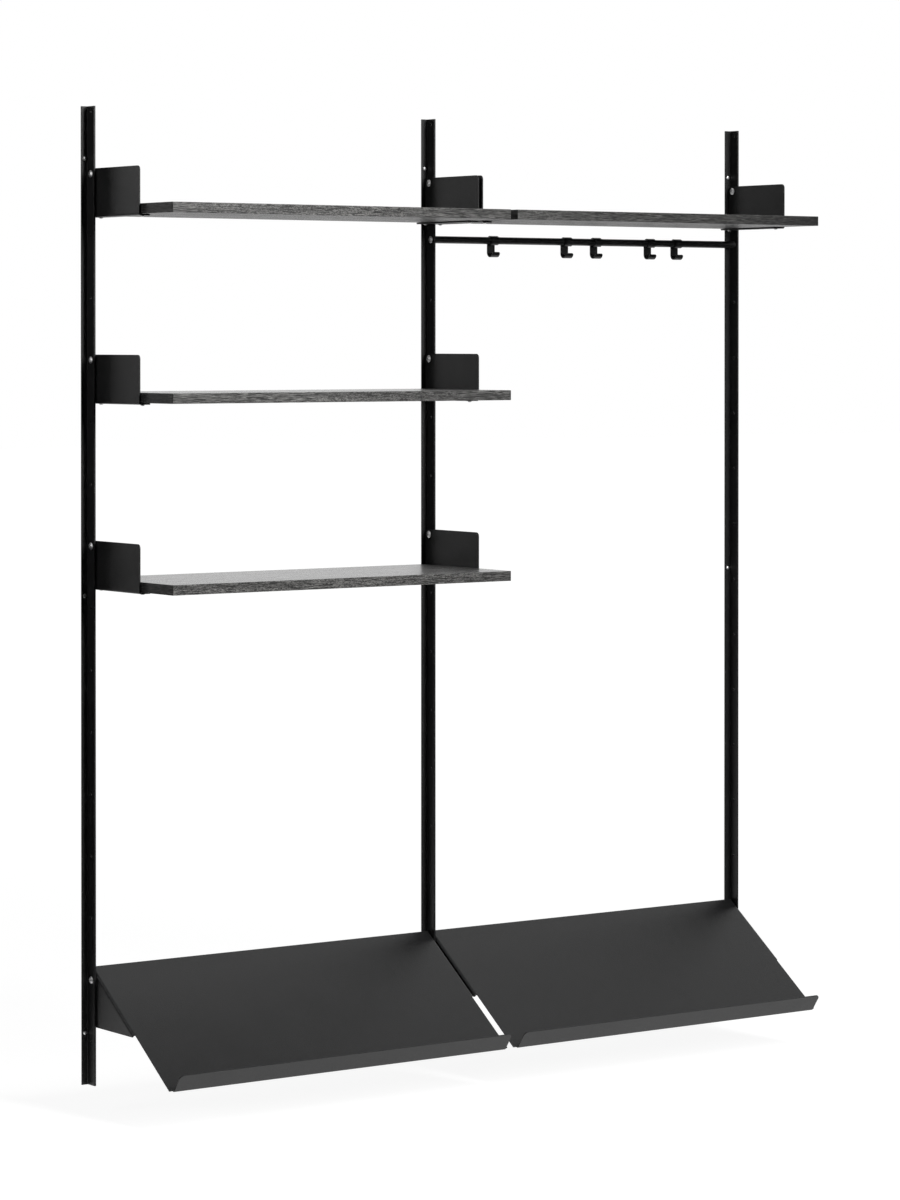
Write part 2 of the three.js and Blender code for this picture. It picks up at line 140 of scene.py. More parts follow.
# Brackets
BRACKET_SHEET = 0.003
BRACKET_STAND_OFF = 0.0016
BRACKET_INNER = WEB / 2 + BRACKET_STAND_OFF
BRACKET_OUTER = BRACKET_INNER + BRACKET_SHEET
BRACKET_TOP_RISE = 0.0107
BRACKET_BEND = 0.0045
BRACKET_BEND_STEPS = 8
BRACKET_FILLET_STEPS = 6
BRACKET_FRONT_RADIUS = 0.008
BRACKET_CORNER_STEPS = 8
BRACKET_FLANGE_CORNER = 0.003
BRACKET_FLANGE_STEPS = 5
BRACKET_SCREW_SIDE = 0.0185
BRACKET_SCREW_DEPTHS = (0.0215, 0.1765)

# Shoe shelves, in the shelf's own frame before it is tilted
SHOE_TILT = math.radians(35.27)
SHOE_SHEET = 0.0025
SHOE_HALF = 0.39525
SHOE_BED = 0.3495
SHOE_LIP = 0.044
SHOE_LIP_INSET = 0.008
SHOE_LIP_BEND = 0.005
SHOE_LIP_BEND_STEPS = 6
SHOE_LIP_CORNER = 0.009
SHOE_LIP_CORNER_STEPS = 8
SHOE_EAR_BEND = 0.0052
SHOE_EAR_BEND_STEPS = 8
SHOE_EAR_SIDE = SHOE_HALF + SHOE_EAR_BEND
SHOE_EAR_REAR = 0.0045
SHOE_EAR_SHOULDER = 0.007
SHOE_EAR_DROP = 0.0913
SHOE_EAR_TIP = 0.0063
SHOE_REAR_DEPTH = 0.0099
SHOE_REAR_ABOVE_HOLE = 0.02495

# Rod and hooks
ROD_RADIUS = 0.0075
ROD_SIDES = 64
ROD_END_BREAK = 0.0008
ROD_DRILL_DEPTH = 0.022
HOOK_STRIP = 0.002
HOOK_J_RADIUS = 0.0104
HOOK_J_DROP = 0.0241
HOOK_J_STEPS = 16
HOOK_WRAP = math.radians(255)
HOOK_WRAP_STEPS = 26
HOOK_TIP_RISE = 0.0005
HOOK_TIP_CORNER = 0.004
HOOK_TIP_SIDES = 48

# The span of noise that the grain and the patches of every finish are mapped from
GRAIN_SPAN = (0.3, 0.7)

# Powder coat: patterns per metre, colours and roughness in its two kinds of patch, and bump
COAT_GRAINS = 480
COAT_PATCHES = 14
COAT_DARK = (0.0075, 0.0077, 0.008)
COAT_PALE = (0.0105, 0.0106, 0.011)
COAT_ROUGHNESS = (0.38, 0.44)
COAT_PEEL = 0.00009

# Black oak: swells of each pattern in a metre along, across and through a board
OAK_GRAINS = 1500
OAK_PATCHES = 6
OAK_BAND_SWELLS = (3, 60, 60)
OAK_SHORT_SWELLS = (260, 1100, 1100)
OAK_LONG_SWELLS = (42, 1000, 1000)
OAK_FLOW_SWELLS = (2.5, 8, 8)
OAK_PORE_SWELLS = (45, 900, 900)

# Black oak: the span of noise that each pattern is mapped from
OAK_BAND_SPAN = (0.3, 0.65)
OAK_FIBRE_SPAN = (0.42, 0.58)
OAK_FLOW_SPAN = (0.44, 0.5)
OAK_PORE_SPAN = (0.52, 0.64)

# Black oak: colours, a painted shade that darkens the boards along X, how they darken on the end faces,
# and the lacquer
OAK_DARK = (0.012, 0.0117, 0.0112)
OAK_PALE = (0.28, 0.276, 0.266)
OAK_BAND_SHARES = (0.45, 1)
# Painted shade: the oak's colour darkens along X, standing in for the lamps' highlight falling off from
# the left bay to the right
OAK_PAINTED_SHADE_X = (-0.2, 0.8)
OAK_PAINTED_SHADE_SHARES = (1, 0.15)
OAK_END_SPAN = (0.5, 0.51)
OAK_END_SHARE = 0.2
OAK_ROUGHNESS = (0.55, 0.36)
OAK_UPWARD_SPAN = (-0.5, 0.5)
OAK_LACQUER = (0.1, 0.75)
OAK_LACQUER_ROUGHNESS = 0.25
OAK_PORE_DEPTH = 0.00005

# Zinc plated steel
STEEL_GRAINS = 3000
STEEL_PATCHES = 120
STEEL_DARK = (0.8, 0.8, 0.81)
STEEL_PALE = (0.93, 0.93, 0.92)
STEEL_ROUGHNESS = (0.54, 0.44)
STEEL_SCRATCH = 0.00001

# Camera, with its shift as it would be if it were level
CAMERA_PLACE = (-4.69782, -6.68435, 0.50213)
CAMERA_YAW = math.radians(35.4335)
CAMERA_PITCH = math.radians(0.45)
CAMERA_LENS = 119.011
CAMERA_LEVEL_SHIFT = -0.21902

# Lamps, with azimuths counted from the front towards the right, and the even fill
LAMP_AIM = Vector((0, 0, 0.4))
KEY_STRENGTH = 2.9
KEY_DISTANCE = 6.5
KEY_AZIMUTH = math.radians(14)
KEY_ELEVATIONS = [math.radians(degrees) for degrees in (13, 30, 47)]
KEY_SPREAD = math.radians(18)
RIM_STRENGTH = 0.22
RIM_DISTANCE = 60
RIM_AZIMUTH = math.radians(190.4)
RIM_ELEVATION = math.radians(8)
RIM_SPREAD = math.radians(8.6)
SIDE_STRENGTH = 0.4
SIDE_DISTANCE = 3.4
SIDE_AZIMUTH = math.radians(-95)
SIDE_ELEVATION = math.radians(10)
SIDE_SPREAD = math.radians(28)
FILL = 0.1

# Floor, which fades to white between two distances
FLOOR_HEIGHT = -1.0
FLOOR_SIZE = 80
FLOOR_COLOUR = 0.9
FLOOR_SHADOW_SHARE = 0.3
FLOOR_FADE = (2, 8)

# Black flags, drawn as a box, and where its top and its floor begin to be open
FLAG_LEFT = -4.3
FLAG_RIGHT = 12
FLAG_FRONT = -12
FLAG_BACK = 12
FLAG_TOP = 6.2
FLAG_TOP_BACK = 0.4
FLAG_FLOOR_LEFT = -1.15
FLAG_FLOOR_BACK = -0.5
FLAG_FLOOR_GAP = 0.002


# Places
def on_axis(axis, value, place=(0, 0, 0)):
    """A place whose coordinate on one axis is set to a value."""
    point = Vector(place)
    point[AXES[axis]] = value
    return point


def box_middle(node):
    """The middle of a CAD node's box."""
    low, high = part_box(node)
    return (low + high) / 2


def nodes_named(start, end=""):
    """The CAD nodes whose names start and end with given words, in order."""
    return sorted(node for node in frame["nodes"] if node.startswith(start) and node.endswith(end))


# Working on one object at a time
def only(piece):
    """Makes one object the only selected and active one."""
    bpy.ops.object.select_all(action="DESELECT")
    piece.select_set(True)
    bpy.context.view_layer.objects.active = piece


def edit(piece):
    """Opens one object in edit mode."""
    only(piece)
    bpy.ops.object.mode_set(mode="EDIT")


def leave():
    """Closes edit mode."""
    bpy.ops.object.mode_set(mode="OBJECT")


def settle(piece):
    """Moves an object's place, turn and scale into its mesh."""
    only(piece)
    bpy.ops.object.transform_apply(location=True, rotation=True, scale=True)


def discard(piece):
    """Removes an object and its mesh."""
    mesh = piece.data
    bpy.data.objects.remove(piece)
    bpy.data.meshes.remove(mesh)


def twin(piece, place, turned=(0, 0, 0)):
    """A copy of a model with its own mesh, turned and moved to its place."""
    only(piece)
    bpy.ops.object.duplicate()
    copy = bpy.context.active_object
    copy.location = place
    copy.rotation_euler = turned
    settle(copy)
    return copy


# New objects
def take_new(name, scale=(1, 1, 1)):
    """Names, scales and settles the primitive that was just added."""
    piece = bpy.context.active_object
    piece.name = name
    piece.scale = scale
    settle(piece)
    return piece


def add_block(name, low, high):
    """A block between two corners, given in any order."""
    low, high = Vector(low), Vector(high)
    bpy.ops.object.select_all(action="DESELECT")
    bpy.ops.mesh.primitive_cube_add(size=1, location=(low + high) / 2)
    return take_new(name, [abs(span) for span in high - low])


def add_sheet(name, width, depth, centre):
    """A flat face across X and Y."""
    bpy.ops.object.select_all(action="DESELECT")
    bpy.ops.mesh.primitive_plane_add(size=1, location=centre)
    return take_new(name, (width, depth, 1))


def add_round(name, sides, radius, low, high, axis="z", place=(0, 0, 0)):
    """A cylinder from low to high along an axis that goes through a place."""
    centre = on_axis(axis, (low + high) / 2, place)
    lean = {"x": (0, QUARTER, 0), "y": (QUARTER, 0, 0), "z": (0, 0, 0)}[axis]
    bpy.ops.object.select_all(action="DESELECT")
    bpy.ops.mesh.primitive_cylinder_add(
        vertices=sides, radius=radius, depth=abs(high - low), location=centre, rotation=lean)
    return take_new(name)


# Picking parts of the mesh that is open in edit mode
def corners(part):
    """The points of a face or an edge, or the point itself."""
    return [part] if isinstance(part, bmesh.types.BMVert) else part.verts


def at(part, **places):
    """True where every corner has the given coordinates, such as x=0."""
    return all(
        abs(corner.co[AXES[axis]] - place) < NEAR
        for axis, place in places.items() for corner in corners(part))


def middle(part):
    """The average of a part's corners."""
    points = [corner.co for corner in corners(part)]
    return sum(points, Vector()) / len(points)


def pick(kind, wanted):
    """Selects only the points, edges or faces that wanted says yes to."""
    bpy.ops.mesh.select_mode(type=kind)
    bpy.ops.mesh.select_all(action="DESELECT")
    mesh = bmesh.from_edit_mesh(bpy.context.edit_object.data)
    for part in {"VERT": mesh.verts, "EDGE": mesh.edges, "FACE": mesh.faces}[kind]:
        if wanted(part):
            part.select_set(True)
    mesh.select_flush_mode()
    bmesh.update_edit_mesh(bpy.context.edit_object.data)


# Shaping the mesh that is open in edit mode
def split_at(axis, value):
    """Cuts edges all round the mesh where an axis has one value."""
    bpy.ops.mesh.select_all(action="SELECT")
    bpy.ops.mesh.bisect(plane_co=on_axis(axis, value), plane_no=on_axis(axis, 1))


def pull(shift):
    """Extrudes what is selected by a vector."""
    bpy.ops.mesh.extrude_region_move(TRANSFORM_OT_translate={"value": tuple(shift)})


def spin_about(steps, angle, centre, axis):
    """Spins what is selected by the right-hand rule, where the operator takes the left."""
    bpy.ops.mesh.spin(steps=steps, angle=angle, center=centre, axis=-Vector(axis))


def swell(share, centre=(0, 0, 0), along="z"):
    """Scales what is selected about a centre, across an axis."""
    shares = [share] * 3
    shares[AXES[along]] = 1
    bpy.ops.transform.resize(value=shares, center_override=centre)


def round_off(radius, steps, kind="EDGES"):
    """Rounds the selected edges or points."""
    bpy.ops.mesh.bevel(
        offset=radius, offset_type="OFFSET", segments=steps, profile=0.5, affect=kind,
        clamp_overlap=False)


def move_point(place, target):
    """Moves the points at one place to a target."""
    pick("VERT", lambda point: at(point, x=place[0], y=place[1], z=place[2]))
    bpy.ops.transform.translate(value=Vector(target) - Vector(place))


def merge_points():
    """Joins doubled points and turns all faces outwards."""
    bpy.ops.mesh.select_all(action="SELECT")
    bpy.ops.mesh.remove_doubles(threshold=NEAR)
    bpy.ops.mesh.normals_make_consistent(inside=False)


# Modifiers, each applied at once
def work(piece, kind, **settings):
    """Adds a modifier with its settings and applies it."""
    only(piece)
    modifier = piece.modifiers.new(kind.lower(), kind)
    for name, value in settings.items():
        setattr(modifier, name, value)
    bpy.ops.object.modifier_apply(modifier=modifier.name)


def merge(pieces):
    """Joins separate objects into the first one's mesh."""
    only(pieces[0])
    for piece in pieces[1:]:
        piece.select_set(True)
    if len(pieces) > 1:
        bpy.ops.object.join()
    return pieces[0]


def carve(piece, *tools, operation="DIFFERENCE"):
    """Cuts tools out of a piece, or joins them to it, and removes the tools."""
    tool = merge(tools)
    work(piece, "BOOLEAN", operation=operation, object=tool, solver="EXACT")
    discard(tool)


def soften(piece, width):
    """Breaks every sharp edge by a small width."""
    work(
        piece, "BEVEL", width=width, segments=EDGE_STEPS, limit_method="ANGLE",
        angle_limit=SHARP_ANGLE, use_clamp_overlap=True)


def shade(piece):
    """Shades the curves smooth and keeps the flats flat."""
    only(piece)
    bpy.ops.object.shade_smooth_by_angle(angle=SMOOTH_ANGLE)
    work(piece, "WEIGHTED_NORMAL", keep_sharp=True, weight=FLAT_WEIGHT)


# Cutters and bosses
def flare(cutter, radius, end, way, axis="z", place=(0, 0, 0)):
    """Widens a cutter past one end, the way -1 or 1, so that it breaks the hole's edge there."""
    edit(cutter)
    pick("FACE", lambda face: at(face, **{axis: end}))
    pull(on_axis(axis, way * 2 * HOLE_BREAK))
    swell((radius + 2 * HOLE_BREAK) / radius, on_axis(axis, end, place), axis)
    leave()


def hole_cutter(radius, low, high, axis, place):
    """A round cutter through a sheet from low to high that also breaks the hole's two edges."""
    ends = (low + HOLE_BREAK, high - HOLE_BREAK)
    cutter = add_round("hole_cutter", HOLE_SIDES, radius, *ends, axis, place)
    for end, way in zip(ends, (-1, 1)):
        flare(cutter, radius, end, way, axis, place)
    return cutter


def add_boss(radius, face, root, y=-HOLE_LINE, z=0):
    """A round boss along X, from its face to a place inside the sheet."""
    boss = add_round("boss", BOSS_SIDES, radius, min(face, root), max(face, root), "x", (0, y, z))
    edit(boss)
    pick("EDGE", lambda edge: at(edge, x=face))
    round_off(CUT_EDGE, BOSS_EDGE_STEPS)
    leave()
    return boss


# Rails
def hole_heights(node, carries_rod):
    """Heights of a rail's web holes, with the rod's hole in place of one of them."""
    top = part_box(node)[1].z - TOP_HOLE_DROP
    heights = [top - index * HOLE_PITCH for index in range(HOLE_COUNT)]
    if carries_rod:
        heights[ROD_HOLE] = box_middle("hanging_rod").z
    return heights


def make_rail(place):
    """A rolled T section: wall flange behind, web in front, and its holes."""
    node = f"rail_{place}"
    low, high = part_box(node)
    centre = box_middle(node).x
    web_sides = [centre - WEB / 2, centre + WEB / 2]
    rail = add_block("rail_model", (low.x, high.y - FLANGE, low.z), high)
    edit(rail)
    for side in web_sides:
        split_at("x", side)
    pick("FACE", lambda face: at(face, y=-FLANGE) and abs(middle(face).x - centre) < WEB / 2)
    pull((0, low.y + FLANGE, 0))
    pick("EDGE", lambda edge: any(at(edge, x=side, y=-FLANGE) for side in web_sides))
    round_off(ROOT_RADIUS, ROOT_STEPS)
    leave()
    soften(rail, ROLLED_EDGE)
    cutters = [
        hole_cutter(BOLT_HOLE, *web_sides, "x", (0, -HOLE_LINE, height))
        for height in hole_heights(node, place != "left")]
    for end in ("top", "middle", "bottom"):
        screw = box_middle(f"wall_screw_{place}_rail_{end}")
        cutters.append(hole_cutter(
            WALL_SHANK + SHANK_CLEARANCE, high.y - FLANGE, high.y, "y",
            (centre - WALL_SCREW_SIDE, 0, screw.z)))
    carve(rail, *cutters)
    return rail


# Boards
def make_board(node):
    """A board with eased edges, and blind holes for the screws that hold it from below."""
    low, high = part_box(node)
    board = add_block("board_model", low, high)
    edit(board)
    pick("EDGE", lambda edge: any(
        at(edge, x=x, y=y) for x in (low.x, high.x) for y in (low.y, high.y)))
    round_off(BOARD_CORNER, BOARD_CORNER_STEPS)
    leave()
    soften(board, BOARD_EDGE)
    drills = []
    for end in ("left", "right"):
        for row in ("rear", "front"):
            screw = box_middle(f"{node.replace('board', 'board_screw')}_{end}_{row}")
            drills.append(add_round(
                "drill", BOARD_DRILL_SIDES, BOARD_SCREW_HOLE, low.z - OVERRUN,
                low.z + BOARD_DRILL_DEPTH, "z", screw))
    carve(board, *drills)
    return board


# Brackets, modelled with their bolt on the X axis and the web's middle plane at X 0
def bend_bracket(side, front, rear, bottom, reach):
    """A bracket's bare sheet: an upright beside the web, and a flange folded away from it below."""
    sheet_top = bottom + BRACKET_SHEET
    inner, outer = side * BRACKET_INNER, side * BRACKET_OUTER
    bracket = add_block("bracket_model", (inner, front, bottom), (outer, rear, BRACKET_TOP_RISE))
    edit(bracket)
    split_at("z", sheet_top)
    pick("FACE", lambda face: at(face, x=outer) and middle(face).z < sheet_top)
    pull((side * (reach - BRACKET_OUTER), 0, 0))
    pick("EDGE", lambda edge: (
        at(edge, x=outer) and middle(edge).z < sheet_top - NEAR
        or at(edge, z=sheet_top) and abs(middle(edge).x) < BRACKET_OUTER - NEAR))
    bpy.ops.mesh.dissolve_edges()
    pick("EDGE", lambda edge: at(edge, x=outer, z=sheet_top))
    round_off(BRACKET_BEND - BRACKET_SHEET, BRACKET_FILLET_STEPS)
    pick("EDGE", lambda edge: at(edge, x=inner, z=bottom))
    round_off(BRACKET_BEND, BRACKET_BEND_STEPS)
    for y, radius in ((front, BRACKET_FRONT_RADIUS), (rear, BRACKET_TOP_RISE)):
        pick("EDGE", lambda edge: at(edge, y=y, z=BRACKET_TOP_RISE))
        round_off(radius, BRACKET_CORNER_STEPS)
    pick("EDGE", lambda edge: any(at(edge, x=side * reach, y=y) for y in (front, rear)))
    round_off(BRACKET_FLANGE_CORNER, BRACKET_FLANGE_STEPS)
    leave()
    soften(bracket, CUT_EDGE)
    return bracket


def make_bracket(side, threaded):
    """A bracket for the side -1 or 1 of a web, with a press nut where it is threaded."""
    low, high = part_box("bracket_left_bay_1_left")
    bottom = BRACKET_TOP_RISE - (high.z - low.z)
    reach = high.x - box_middle("rail_left").x
    bracket = bend_bracket(side, low.y, high.y, bottom, reach)
    sheet_middle = side * (BRACKET_INNER + BRACKET_SHEET / 2)
    hole_ends = [side * (WEB / 2 + SEAT_GAP), side * BRACKET_OUTER]
    carve(bracket, add_boss(COLLAR, hole_ends[0], sheet_middle), operation="UNION")
    if threaded:
        hole_ends[1] = side * (BRACKET_OUTER + PRESS_NUT_HEIGHT)
        carve(bracket, add_boss(PRESS_NUT, hole_ends[1], sheet_middle), operation="UNION")
    cutters = [hole_cutter(BOLT_HOLE, *sorted(hole_ends), "x", (0, -HOLE_LINE, 0))]
    for depth in BRACKET_SCREW_DEPTHS:
        cutters.append(hole_cutter(
            BOARD_SCREW_HOLE, bottom, bottom + BRACKET_SHEET, "z",
            (side * BRACKET_SCREW_SIDE, -depth, 0)))
    carve(bracket, *cutters)
    return bracket


# Shoe shelves, each one bent sheet that is drawn as its upper skin first
def in_shelf(wall_depth, rise_from_hole):
    """A place given by its depth from the wall and its rise from the bolt, in the shelf's frame."""
    back = SHOE_REAR_DEPTH - wall_depth
    up = rise_from_hole - SHOE_REAR_ABOVE_HOLE
    return (
        back * math.cos(SHOE_TILT) + up * math.sin(SHOE_TILT),
        up * math.cos(SHOE_TILT) - back * math.sin(SHOE_TILT))


def bend_lip(start):
    """Turns the bed's front edge up into a lip with rounded corners."""
    half = SHOE_HALF - SHOE_LIP_INSET
    radius = SHOE_LIP_BEND - SHOE_SHEET
    top = SHOE_LIP - SHOE_SHEET
    for side in (-1, 1):
        split_at("x", side * half)
    pick("EDGE", lambda edge: at(edge, y=start) and abs(middle(edge).x) < half)
    spin_about(SHOE_LIP_BEND_STEPS, QUARTER, (0, start, radius), (-1, 0, 0))
    pull((0, 0, top - radius))
    pick("VERT", lambda point: at(point, z=top))
    round_off(SHOE_LIP_CORNER, SHOE_LIP_CORNER_STEPS, "VERTICES")


def bend_ear(side, foot, tip):
    """Turns one side of the bed, from the wall to the ear's tip, down into a triangular ear."""
    outer = side * SHOE_EAR_SIDE
    shoulder = in_shelf(SHOE_EAR_REAR, SHOE_REAR_ABOVE_HOLE - SHOE_EAR_SHOULDER)
    pick("EDGE", lambda edge: at(edge, x=side * SHOE_HALF) and middle(edge).y > tip)
    spin_about(
        SHOE_EAR_BEND_STEPS, QUARTER, (side * SHOE_HALF, 0, -SHOE_EAR_BEND), (0, side, 0))
    pull((0, 0, SHOE_EAR_BEND - SHOE_EAR_TIP))
    pull((0, 0, -SHOE_EAR_TIP))
    move_point((outer, 0, -SHOE_EAR_TIP), (outer, *shoulder))
    move_point((outer, 0, -2 * SHOE_EAR_TIP), (outer, *foot))
    move_point((outer, tip, -2 * SHOE_EAR_TIP), (outer, tip, -SHOE_EAR_TIP))


def pierce_ear(shelf, side):
    """Cuts the bolt's hole in one ear, after the left ear has got its press nut."""
    hole = in_shelf(HOLE_LINE, 0)
    hole_ends = [side * SHOE_EAR_SIDE, side * (SHOE_EAR_SIDE - SHOE_SHEET)]
    if side < 0:
        hole_ends[1] += PRESS_NUT_HEIGHT
        root = side * (SHOE_EAR_SIDE - SHOE_SHEET / 2)
        carve(shelf, add_boss(PRESS_NUT, hole_ends[1], root, *hole), operation="UNION")
    carve(shelf, hole_cutter(BOLT_HOLE, *sorted(hole_ends), "x", (0, *hole)))


def make_shoe_shelf():
    """The bed with its front lip and two side ears."""
    lip_start = SHOE_LIP_BEND - SHOE_BED
    foot = in_shelf(SHOE_EAR_REAR, -SHOE_EAR_DROP)
    tip = foot[0] + (foot[1] + SHOE_EAR_TIP) / math.tan(SHOE_TILT)
    shelf = add_sheet("shoe_shelf_model", 2 * SHOE_HALF, -lip_start, (0, lip_start / 2, 0))
    edit(shelf)
    split_at("y", tip)
    bend_lip(lip_start)
    for side in (-1, 1):
        bend_ear(side, foot, tip)
    merge_points()
    mesh = bmesh.from_edit_mesh(shelf.data)
    if sum(face.normal.z for face in mesh.faces) < 0:
        bpy.ops.mesh.flip_normals()
    leave()
    work(shelf, "SOLIDIFY", thickness=SHOE_SHEET, offset=-1, use_even_offset=True)
    soften(shelf, CUT_EDGE)
    for side in (-1, 1):
        pierce_ear(shelf, side)
    return shelf


# Hanging rod
def make_rod():
    """A round rod with a blind screw hole in each end."""
    low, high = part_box("hanging_rod")
    centre = box_middle("hanging_rod")
    rod = add_round("rod_model", ROD_SIDES, ROD_RADIUS, low.x, high.x, "x", centre)
    soften(rod, ROD_END_BREAK)
    carve(rod, *[
        add_round("drill", HOLE_SIDES, BOLT_HOLE, start, stop, "x", centre)
        for start, stop in (
            (low.x - OVERRUN, low.x + ROD_DRILL_DEPTH),
            (high.x - ROD_DRILL_DEPTH, high.x + OVERRUN))])
    return rod


# Hooks, modelled with the rod's axis along X at the origin
def make_hook():
    """One strip bent into a J in front and a clip over the rod, drawn from its tip."""
    low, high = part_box("hook_1")
    width = high.x - low.x
    j_middle = ROD_RADIUS + SEAT_GAP + HOOK_STRIP - HOOK_J_RADIUS
    tip = Vector((0, j_middle - HOOK_J_RADIUS + HOOK_STRIP / 2, HOOK_TIP_RISE - HOOK_J_DROP))
    hook = add_sheet("hook_model", width, HOOK_STRIP, tip)
    edit(hook)
    bpy.ops.mesh.select_all(action="SELECT")
    pull((0, 0, -HOOK_TIP_RISE))
    spin_about(HOOK_J_STEPS, math.pi, (0, j_middle, -HOOK_J_DROP), (1, 0, 0))
    pull((0, 0, HOOK_J_DROP))
    spin_about(HOOK_WRAP_STEPS, HOOK_WRAP, (0, 0, 0), (1, 0, 0))
    merge_points()
    leave()
    for side in (-1, 1):
        carve(hook, tip_cutter(side, on_axis("x", side * width / 2, tip)))
    soften(hook, CUT_EDGE)
    return hook


def tip_cutter(side, corner):
    """A cutter that rounds one upper corner of a hook's tip."""
    root = Vector((side * HOOK_TIP_CORNER, HOOK_STRIP, HOOK_TIP_CORNER))
    reach = Vector((side * OVERRUN, HOOK_STRIP, OVERRUN))
    cutter = add_block("tip_cutter", corner - root, corner + reach)
    carve(cutter, add_round(
        "tip_round", HOOK_TIP_SIDES, HOOK_TIP_CORNER, corner.y - 2 * HOOK_STRIP,
        corner.y + 2 * HOOK_STRIP, "y", corner - root))
    return cutter


# Bolts and screws, modelled with the seat at the origin and the shank along +Z
def dome(radius, rim, height):
    """Draws a domed top on the selected round face, which looks along -Z."""
    crown = height - rim
    ball = (radius**2 + crown**2) / (2 * crown)
    edge = math.asin(radius / ball)
    fall = math.cos(edge * (1 - DOME_SHARE)) - math.cos(edge)
    last_radius, last_height = radius, rim
    for step in range(1, DOME_STEPS + 1):
        angle = edge * (1 - DOME_SHARE * step / DOME_STEPS)
        ring = ball * math.sin(angle)
        rise = rim + crown * (math.cos(angle) - math.cos(edge)) / fall
        bpy.ops.mesh.inset(thickness=last_radius - ring, depth=rise - last_height)
        last_radius, last_height = ring, rise


def make_fastener(name, sides, head, height, rim, shank, length, pitch):
    """A domed head on a shank with thread ridges and a narrowed end."""
    piece = add_round(name, sides, head, -rim, 0)
    edit(piece)
    pick("FACE", lambda face: at(face, z=-rim))
    dome(head, rim, height)
    pick("FACE", lambda face: at(face, z=0))
    bpy.ops.mesh.inset(thickness=head - shank)
    ridges = int(length / pitch) - 1
    valley = (shank - THREAD_DEPTH) / shank
    pull((0, 0, length - ridges * pitch - pitch / 2))
    for _ in range(ridges):
        for share in (valley, 1 / valley):
            pull((0, 0, pitch / 2))
            swell(share)
    pull((0, 0, pitch / 2))
    swell(valley)
    leave()
    return piece


def socket_cutter(top):
    """A hexagon cutter with a flared mouth at the top of a head."""
    mouth = top + HOLE_BREAK
    cutter = add_round("socket_cutter", SOCKET_SIDES, SOCKET, mouth, top + SOCKET_DEPTH)
    flare(cutter, SOCKET, mouth, -1)
    return cutter


def cross_cutters(top):
    """Two crossed arms that narrow towards their floor, for a cross recess."""
    span, arm = CROSS_SPAN / 2, CROSS_ARM / 2
    floor = top + CROSS_DEPTH
    arms = []
    for angle in (0, QUARTER):
        cutter = add_block("cross_cutter", (-span, -arm, top - OVERRUN), (span, arm, floor))
        edit(cutter)
        pick("FACE", lambda face: at(face, z=floor))
        swell(CROSS_FLOOR_SHARE)
        leave()
        cutter.rotation_euler.z = angle
        settle(cutter)
        arms.append(cutter)
    return arms


# Where things go
def stand_for(piece, node, finish):
    """The piece, closed and shaded, takes the place of a CAD node, with its body and its finish."""
    edit(piece)
    merge_points()
    leave()
    shade(piece)
    piece.name = f"finished_{node}"
    piece.data.name = piece.name
    piece.data.materials.clear()
    piece.data.materials.append(finishes[finish])
    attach(piece, frame["nodes"][node]["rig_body"])
    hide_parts(node)


def dress_rails():
    """Each rail has its own hole line."""
    for place in ("left", "middle", "right"):
        stand_for(make_rail(place), f"rail_{place}", "powder_coat")


def dress_boards():
    """Boards in both bays."""
    for bay in ("left_bay", "right_bay"):
        for node in nodes_named(f"board_{bay}"):
            stand_for(make_board(node), node, "black_oak")


def dress_brackets():
    """Two models, one for each side of a web, copied to every board's ends."""
    for end, side in (("left", 1), ("right", -1)):
        model = make_bracket(side, side > 0)
        for bay in ("left_bay", "right_bay"):
            for node in nodes_named(f"bracket_{bay}", f"_{end}"):
                low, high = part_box(node)
                near_face = low.x if side > 0 else high.x
                web = near_face - side * (WEB / 2 + SEAT_GAP)
                place = (web, 0, high.z - BRACKET_TOP_RISE)
                stand_for(twin(model, place), node, "powder_coat")
        discard(model)


def dress_shoe_shelves():
    """One model, tilted and copied to both bays."""
    model = make_shoe_shelf()
    for node in nodes_named("shoe_shelf"):
        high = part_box(node)[1]
        place = (box_middle(node).x, -SHOE_REAR_DEPTH, high.z)
        stand_for(twin(model, place, (SHOE_TILT, 0, 0)), node, "powder_coat")
    discard(model)


def dress_rod_and_hooks():
    """The rod, and one hook model copied along it."""
    stand_for(make_rod(), "hanging_rod", "powder_coat")
    model = make_hook()
    rod = box_middle("hanging_rod")
    for node in nodes_named("hook_"):
        stand_for(twin(model, (box_middle(node).x, rod.y, rod.z)), node, "powder_coat")
    discard(model)


def dress_bolts():
    """Bolts and rod screws, each as long as its node. Only the right rod screw points to the left."""
    for node in nodes_named("bracket_bolt") + nodes_named("shoe_bolt") + nodes_named("rod_screw"):
        low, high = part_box(node)
        seat = box_middle(node)
        length = high.x - low.x - BOLT_HEAD_HEIGHT
        way = -1 if node == "rod_screw_right" else 1
        seat.x = low.x + BOLT_HEAD_HEIGHT if way > 0 else high.x - BOLT_HEAD_HEIGHT
        bolt = make_fastener(
            "bolt_model", BOLT_SIDES, BOLT_HEAD, BOLT_HEAD_HEIGHT, BOLT_RIM, BOLT_SHANK, length,
            BOLT_THREAD)
        carve(bolt, socket_cutter(-BOLT_HEAD_HEIGHT))
        stand_for(twin(bolt, seat, (0, way * QUARTER, 0)), node, "zinc_steel")
        discard(bolt)


